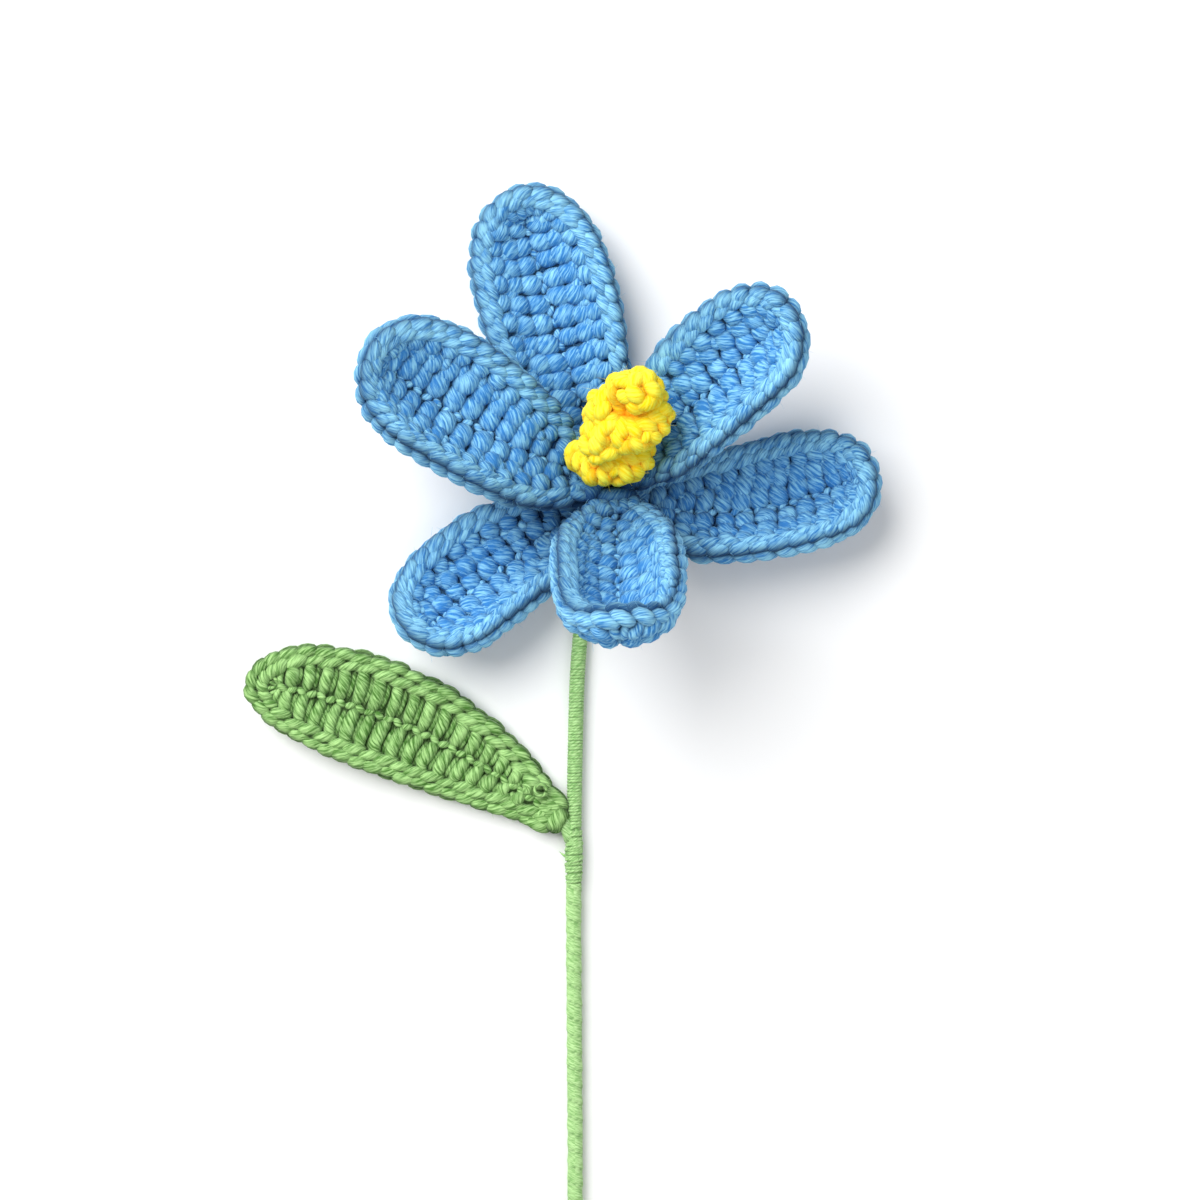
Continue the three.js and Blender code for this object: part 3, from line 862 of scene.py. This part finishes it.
def crochet_leaf():
    blade = Blade(LEAF, LEAF_ROOT_HALF_WIDTH)
    net = Net(blade, 2.0, blade.length * 0.9, 0.6)
    yarn = Yarn()
    u, pitch = net.stitches(LEAF_PITCH)
    for face in (1, -1):
        lay_leaf_ribs(yarn, net, u, face)
        lay_seam(yarn, net, LEAF_SEAM_PITCH, face)
    lay_leaf_rim(yarn, net, u, pitch)
    yarn.add_stray_fibres(1000, 0.75)
    lay_root(yarn, blade, 1.2, 0.95)
    lay_gathers(yarn, blade, 1.3)
    lay_leaf_ring(yarn)
    lay_backing(yarn, blade, 1.2, 1.3)
    yarn.make("leaf_crochet", LEAF_YARN, "green_yarn", "leaf")


crochet_leaf()


# ---------------- yellow middle

STRIP_LEAN = unit(np.array([0.27, 0.59, 0.76]))
STRIP_FOOT = np.array([-0.3, 4.9, 14.8])
STRIP_ACROSS = unit(np.cross(STRIP_LEAN, UPWARDS))
STRIP_UP = np.cross(STRIP_ACROSS, STRIP_LEAN)
STRIP_RISE = 10  # height gained in one turn
STRIP_LOW = -3
STRIP_HIGH = 20.5
STITCHES_A_TURN = 13
RUFFLE_DEEP = 2.9  # half the ruffle's size away from the axis, and along it
RUFFLE_THICK = 2.6
RUFFLE_MIDDLE = 3.75  # from the axis to the middle of the ruffle's section
RUFFLE_BULGE = 0.5  # how much further out it stands near BULGE_AT
BULGE_AT = 15.2
RUFFLE_WAVE = 0.35
STRIP_WIDE = 1.02  # the curl's section is a little wider than deep
STRIP_DEEP = 0.84
# Rows of loops over the ruffle: share of a step on, every which step, degrees round the
# ruffle's section, radians on along the strip; then half width, half height, twist and tone.
RUFFLE_ROWS = (
    (0, 1, (158, 120, 70, 15), (-0.1, -0.03, 0.06, 0.16), 1.5, 1.2, 58, 0.0),
    (0.5, 1, (20, -40, -100, -155), (0.12, 0.04, -0.04, -0.1), 1.5, 1.2, 58, 0.0),
    (0.25, 1, (52, 22, -12, -35), (-0.16, -0.02, 0.13, 0.22), 1.1, 1.05, 40, 0.35),
    (0, 2, (85, 60, 30, 5), (0.2, 0.1, -0.08, -0.2), 0.95, 0.9, 40, 0.35),
)
# Puffs where the strip is gathered: to the right, in front, up the axis, radius.
BOBBLES = ((0.2, -0.6, 20.6, 3.1), (-2.4, 3.1, 8.6, 3.2), (-4.0, 0.5, 14.4, 2.9))
BOBBLE_LOOPS = 15


def in_strip(across, front, height):
    """A point beside the line that the strip curls round: to its right, in front and up it."""
    return (STRIP_FOOT + np.asarray(across)[..., None] * STRIP_ACROSS
            + np.asarray(front)[..., None] * STRIP_UP
            + np.asarray(height)[..., None] * STRIP_LEAN)


def on_ruffle(height, slant, deep, thick):
    """Points round the strip's thick ruffled edge where it has climbed to a height.

    slant is an angle on along the strip. deep and thick are shares of the ruffle's own size."""
    turn = 3 * np.pi - 2 * np.pi * height / STRIP_RISE - slant
    bulge = RUFFLE_BULGE * np.exp(-((height - BULGE_AT) / 1.5) ** 2)
    middle = RUFFLE_MIDDLE + bulge + RUFFLE_WAVE * np.sin(height * 2.9)
    middle = middle * np.clip((22.5 - height) / 5, 0.4, 1) * np.clip((height + 7) / 5, 0.4, 1)
    radius = middle + RUFFLE_DEEP * deep
    up = height + STRIP_RISE * slant / 2 / np.pi + RUFFLE_THICK * thick
    return in_strip(STRIP_WIDE * radius * np.cos(turn), STRIP_DEEP * radius * np.sin(turn), up)


def lay_ruffle_row(yarn, height, section, slant, wide, high, twist, tone):
    """Loops over the ruffle, through angles (degrees) round its cross-section."""
    section = np.radians(section)[None, :] + rng.normal(0, 0.14, (len(height), 1))
    slant = np.asarray(slant)[None, :] + rng.normal(0, 0.05, (len(height), 1))
    proud = rng.normal(1, 0.07, (len(height), 1))
    path = on_ruffle(height[:, None], slant, proud * np.cos(section), proud * np.sin(section))
    middle = on_ruffle(height[:, None], slant, 0 * section, 0 * section)
    size = rng.normal(1, 0.08, len(height))
    yarn.lay_loops(path, unit(path - middle), wide * size, high * size, twist, tone)


def crochet_strip():
    """A strip that curls like a screw: stitches over both sides of a thick ruffled edge."""
    yarn = Yarn()
    step = STRIP_RISE / STITCHES_A_TURN
    height = np.arange(STRIP_LOW, STRIP_HIGH, step)
    for share, every, *loops in RUFFLE_ROWS:
        lay_ruffle_row(yarn, (height + step * share)[::every], *loops)
    for *place, size in BOBBLES:
        lay_bobble(yarn, in_strip(*place), size)
    inside = np.linspace(STRIP_LOW, STRIP_HIGH, 70)
    path = on_ruffle(inside, 0, -0.12, 0)
    yarn.sweep(path, unit(path - in_strip(0, 0, inside)), 1.95, 2.4, sides=10, tone=-0.5)
    yarn.sweep(in_strip(0, 0, np.linspace(-5, 20, 12)), STRIP_UP, 1.9, 1.9, sides=12, tone=-0.5)
    # Painted shade, deeper down between the turns of the strip.
    yarn.paint_deeper_shade(shade_in_strip_hollow, 1.0)
    yarn.add_stray_fibres(1500, 0.8)
    yarn.make("centre_crochet", YELLOW_YARN, "yellow_yarn", "centre_strip")


def shade_in_strip_hollow(points):
    """How far a point lies down between the turns of the strip, from 0 to 1: the weight of the
    painted shade there.
    """
    from_foot = points - STRIP_FOOT
    radius = np.linalg.norm(from_foot - (from_foot @ STRIP_LEAN)[:, None] * STRIP_LEAN, axis=-1)
    below_top = np.clip((21 - from_foot @ STRIP_LEAN) / 4, 0, 1)
    return np.clip((4.6 - radius) / 2.6, 0, 1) * below_top


def lay_bobble(yarn, middle, size):
    """A round puff of loops, as where the strip's end is gathered."""
    k = np.arange(BOBBLE_LOOPS) + 0.5
    polar = np.arccos(1 - 1.75 * k / BOBBLE_LOOPS)
    turn = k * math.pi * (1 + math.sqrt(5))
    out = (np.sin(polar)[:, None] * (np.cos(turn)[:, None] * STRIP_ACROSS
                                     + np.sin(turn)[:, None] * STRIP_UP)
           + np.cos(polar)[:, None] * STRIP_LEAN)
    way = unit(np.cross(out, rng.normal(0, 1, out.shape)))
    reach = np.array([-1.9, -0.7, 0.7, 1.9])
    sink = np.array([0.62, 1.0, 1.0, 0.62])
    path = middle + out[:, None] * (size * sink[:, None]) + way[:, None] * reach[:, None]
    normal = np.repeat(out[:, None], len(reach), 1)
    yarn.lay_loops(path, normal, 1.35, 1.2, 55, tone=0.2)
    core = np.array([-0.8, -0.45, 0.0, 0.45, 0.8]) * size
    girth = np.array([0.3, 0.72, 0.84, 0.72, 0.3]) * size
    yarn.sweep(middle + core[:, None] * STRIP_LEAN, STRIP_UP, girth, girth, sides=10, tone=-0.3)


crochet_strip()


# ---------------- stem

LEAF_TIE = (-6.4, -62.8, 2)
LEAF_BINDING_LENGTH = 10.5
WIRE_SHOWS = 0.6
STEM_ROUTE = np.array([
    STRIP_FOOT + 16 * STRIP_LEAN,
    STRIP_FOOT + 8 * STRIP_LEAN,
    STRIP_FOOT,
    HUB + 2.5 * HEAD_AXIS,
    HUB - 2.2 * HEAD_AXIS,
    (-0.7, -3.6, 2.6),
    (-1.9, -8.5, 1.7),
    (-4.1, -18, 1.6),
    (-5.6, -31.5, 1.6),
    (-6.2, -50, 1.8),
    (-6.4, -66.6, 1.9),
    (-6.45, -80, 1.8),
    (-6.3, -105, 1.6),
    (-6.2, -133, 1.6),
    (-6.9, -170, 1.6),
    (-6.8, -210, 1.6),
    (-6.0, -243, 1.6),
])


def centripetal_curve(points, per_span):
    """The smooth curve through points that the stem wire follows."""
    padded = np.concatenate([[2 * points[0] - points[1]], points, [2 * points[-1] - points[-2]]])
    t = np.linspace(0, 1, per_span, endpoint=False)[:, None]
    spans = []
    for p0, p1, p2, p3 in zip(padded, padded[1:], padded[2:], padded[3:]):
        d0, d1, d2 = (math.sqrt(np.linalg.norm(b - a)) for a, b in ((p0, p1), (p1, p2), (p2, p3)))
        m1 = ((p1 - p0) / d0 - (p2 - p0) / (d0 + d1) + (p2 - p1) / d1) * d1
        m2 = ((p2 - p1) / d1 - (p3 - p1) / (d1 + d2) + (p3 - p2) / d2) * d1
        c2 = -3 * p1 + 3 * p2 - 2 * m1 - m2
        c3 = 2 * p1 - 2 * p2 + m1 + m2
        spans.append(p1 + m1 * t + c2 * t ** 2 + c3 * t ** 3)
    return np.concatenate(spans + [points[-1:]])


class Stem:
    """The stem's centre line, measured in millimetres from its top end."""

    def __init__(self):
        self.line = centripetal_curve(STEM_ROUTE, 60)
        self.run = run_along(self.line)
        self.length = self.run[-1]

    def nearest(self, point):
        return self.run[np.argmin(np.linalg.norm(self.line - point, axis=1))]

    def at(self, s):
        """Centre points and two directions square to the stem at distances s."""
        point, ahead, behind = (read_line(s + on, self.run, self.line) for on in (0, 0.4, -0.4))
        tangent = unit(ahead - behind)
        across = unit(np.cross(tangent, [1.0, 0.0, 0.0]))
        return point, across, np.cross(tangent, across)


STEM = Stem()
STEM_HALF = 1.5
THREAD_FLAT = 0.8
TAPE_SIDES = 22
TAPE_STEP = 0.45
TAPE_PITCH = 3.1
TAPE_LIP = 0.12  # how far a turn's edge stands out
TAPE_UNEVEN = 0.03


def wind_thread(yarn, start, end, pitch, radius, thick, per_turn=14, tone=0.0, wander=0.06):
    """Winds one thread round the stem, at radius(s) from its centre, turns side by side."""
    turns = (end - start) / pitch
    phase = np.linspace(0, WHOLE_TURN * turns, int(turns * per_turn) + 1)
    s = start + (end - start) * phase / phase[-1]
    s = s + wander * pitch * np.sin(phase * 0.37) + wander * np.sin(phase * 0.083)
    point, across, over = STEM.at(s)
    out = across * np.cos(phase)[:, None] + over * np.sin(phase)[:, None]
    path = point + out * (radius(s) + 0 * s)[:, None]
    yarn.sweep(path, out, thick, thick * THREAD_FLAT, 6, 35, tone)


def lay_sleeve(yarn, start, end, radius, step):
    """The plain layer under a winding."""
    s = np.linspace(start, end, max(4, int((end - start) / step)))
    point, across, over = STEM.at(s)
    yarn.sweep(point, across, radius(s), radius(s), 14, 70, -0.6)


def wrap_lower_stem(start, end):
    """A soft tape wound with overlapping turns, each edge standing a little proud."""
    radius = STEM_HALF - 0.04
    sides = TAPE_SIDES
    rings = int((end - start) / TAPE_STEP)
    s = np.linspace(start, end, rings)
    turn = np.linspace(0, WHOLE_TURN, sides, endpoint=False)
    point, across, over = STEM.at(s)
    out = across[:, None] * np.cos(turn)[:, None] + over[:, None] * np.sin(turn)[:, None]
    slip = np.mod(s[:, None] / TAPE_PITCH + turn / WHOLE_TURN, 1)
    size = radius + TAPE_LIP * (slip ** 1.5 - 0.5)
    size = size + TAPE_UNEVEN * (np.sin(s[:, None] * 1.7 + 2 * turn) + np.sin(s[:, None] * 0.61))
    points = (point[:, None] + out * size[..., None]).reshape(-1, 3)
    i, j, quads = tube_quads(rings, sides)
    arc = turn[j] * radius
    arc_next = arc + WHOLE_TURN / sides * radius
    around = np.stack([arc, arc_next, arc_next, arc], -1).ravel()
    along = np.stack([s[i], s[i], s[i + 1], s[i + 1]], -1).ravel()
    uv = turned_uv(along, around, 20, np.zeros(2))
    uv = np.concatenate([uv, np.zeros((2 * sides, 2))])
    first = np.arange(sides)[::-1]
    # Painted shade: darker just past each turn's proud edge, where the next turn lies low beneath
    # it.
    painted_shade = np.clip(1 - slip * 6, 0, 1).ravel() * 0.8
    yarn = Yarn()
    yarn.add_tube(points, quads[:, TURNED_OVER], first, uv, 0.5, painted_shade)
    yarn.make("stem_wrap_lower_tape", STEM_THREAD, "stem_yarn", "stem_wrap_lower")


def wind_head_binding(start, end):
    """Thread wound tightly round the gathered petal roots, tapering on to the stem."""
    yarn = Yarn()

    def cone(s):
        share = np.clip((s - start) / (end - start), 0, 1)
        return 2.3 - 0.95 * np.clip((share - 0.55) / 0.45, 0, 1)

    lay_sleeve(yarn, start, end, lambda s: cone(s) - 0.15, 0.6)
    wind_thread(yarn, start + 0.2, end - 0.2, 0.55, cone, 0.34, per_turn=18)
    yarn.make("head_binding_thread", STEM_THREAD, "stem_yarn", "head_binding")


def wind_upper_stem(start, end):
    yarn = Yarn()
    lay_sleeve(yarn, start, end, lambda s: STEM_HALF - 0.3, 2.5)
    wind_thread(yarn, start + 0.1, end, 0.56, lambda s: STEM_HALF - 0.27, 0.33)
    yarn.make("stem_wrap_upper_thread", STEM_THREAD, "stem_yarn", "stem_wrap_upper")


def bind_leaf(start, end):
    """The thicker winding over the leaf's root, its thread's end left as a small point."""
    yarn = Yarn()

    def swell(s):
        share = (s - start) / (end - start)
        return STEM_HALF - 0.25 + 0.22 * np.sin(np.pi * np.clip(share, 0, 1)) ** 0.7

    lay_sleeve(yarn, start, end, lambda s: swell(s) - 0.1, 1.0)
    wind_thread(yarn, start, end, 0.62, swell, 0.36, wander=0.25)
    wind_thread(yarn, start + 0.6, end - 2.0, 2.9, lambda s: swell(s) + 0.14, 0.3, tone=0.4)
    middle, across, over = STEM.at(np.array([start + 5.6]))
    left = np.array([-1.0, 0.12, 0.1])
    reach = np.linspace(1.0, 2.75, 7)
    path = middle + left * reach[:, None] + np.array([0, 0.25, 0]) * (reach[:, None] - 1) ** 2
    thick = 0.5 * (1.02 - (reach - 1) / 1.8)
    yarn.sweep(path, UPWARDS, thick, thick, 7, 20, 0.5)
    root = Blade(LEAF, LEAF_ROOT_HALF_WIDTH).place(np.array([[3.0, 0.0], [0.8, 0.0]]),
                                                   np.zeros(2))[0]
    for lift in (-0.5, 0.45):
        path = np.concatenate([root, [root[1] + (2.2, -0.9, 0)], middle + (-0.6, 3.2, 0)])
        path = smooth_path((path + (0, 0, lift))[None], np.linspace(0, 1, 12))[0]
        yarn.sweep(path, UPWARDS, 1.25, 0.95, 10, 35, -0.2)
    yarn.make("leaf_binding_thread", STEM_THREAD, "stem_yarn", "leaf_binding")


binding_start = STEM.nearest(HUB + BINDING_RINGS[0][0] * HEAD_AXIS)
binding_end = STEM.nearest(HUB + BINDING_RINGS[-1][0] * HEAD_AXIS)
leaf_tie_start = STEM.nearest(np.array(LEAF_TIE))
leaf_tie_end = leaf_tie_start + LEAF_BINDING_LENGTH
wind_head_binding(binding_start, binding_end)
wind_upper_stem(binding_end + 0.1, leaf_tie_start)
bind_leaf(leaf_tie_start, leaf_tie_end)
wrap_lower_stem(leaf_tie_end, STEM.length - WIRE_SHOWS)


# ---------------- wire and studio

for node_name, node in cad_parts.items():
    if "wire" in node_name:
        node.data.materials.clear()
        node.data.materials.append(WIRE)


SENSOR_WIDTH = 36
CAMERA_HEIGHT = 562
VIEW_WIDTH = 222
VIEW_PLANE = 12
VIEW_CENTRE = (-1.5, -20.0)
LIGHTS = (("key", (-0.5, 0.55, 0.85), 16.8), ("fill", (0.5, -0.3, 0.9), 3.8))  # place, power
LIGHT_SIZE = 1.0
LIGHTS_AIM = (0, 0.05, 0)
SKY_STRENGTH = 0.32


def add_floor():
    bpy.ops.object.select_all(action="DESELECT")
    bpy.ops.mesh.primitive_plane_add(size=6, location=(0, 0, 0))
    floor = bpy.context.active_object
    floor.name = "floor"
    material, *_, shader = new_material("pale floor")
    set_inputs(shader, {"Base Color": (0.86, 0.86, 0.86, 1), "Roughness": 0.9})
    floor.data.materials.append(material)


def add_area_light(name, place, power):
    light = bpy.data.lights.new(name, "AREA")
    light.shape = "DISK"
    light.size = LIGHT_SIZE
    light.energy = power
    lamp = put_in_scene(name, light)
    lamp.location = place
    direction = Vector(LIGHTS_AIM) - Vector(place)
    lamp.rotation_euler = direction.to_track_quat("-Z", "Y").to_euler()


def add_camera():
    data = bpy.data.cameras.new("camera")
    data.sensor_width = SENSOR_WIDTH
    data.lens = SENSOR_WIDTH * (CAMERA_HEIGHT - VIEW_PLANE) / VIEW_WIDTH
    camera = put_in_scene("camera", data)
    camera.location = (ORIGIN + (*VIEW_CENTRE, CAMERA_HEIGHT)) * MM
    bpy.context.scene.camera = camera


def add_sky():
    world = bpy.data.worlds.new("studio")
    bpy.context.scene.world = world
    world.use_nodes = True
    set_inputs(world.node_tree.nodes["Background"],
               {"Color": (1, 1, 1, 1), "Strength": SKY_STRENGTH})


bpy.context.scene.view_settings.view_transform = "Standard"
add_floor()
add_sky()
for light_name, light_place, light_power in LIGHTS:
    add_area_light(light_name, light_place, light_power)
add_camera()
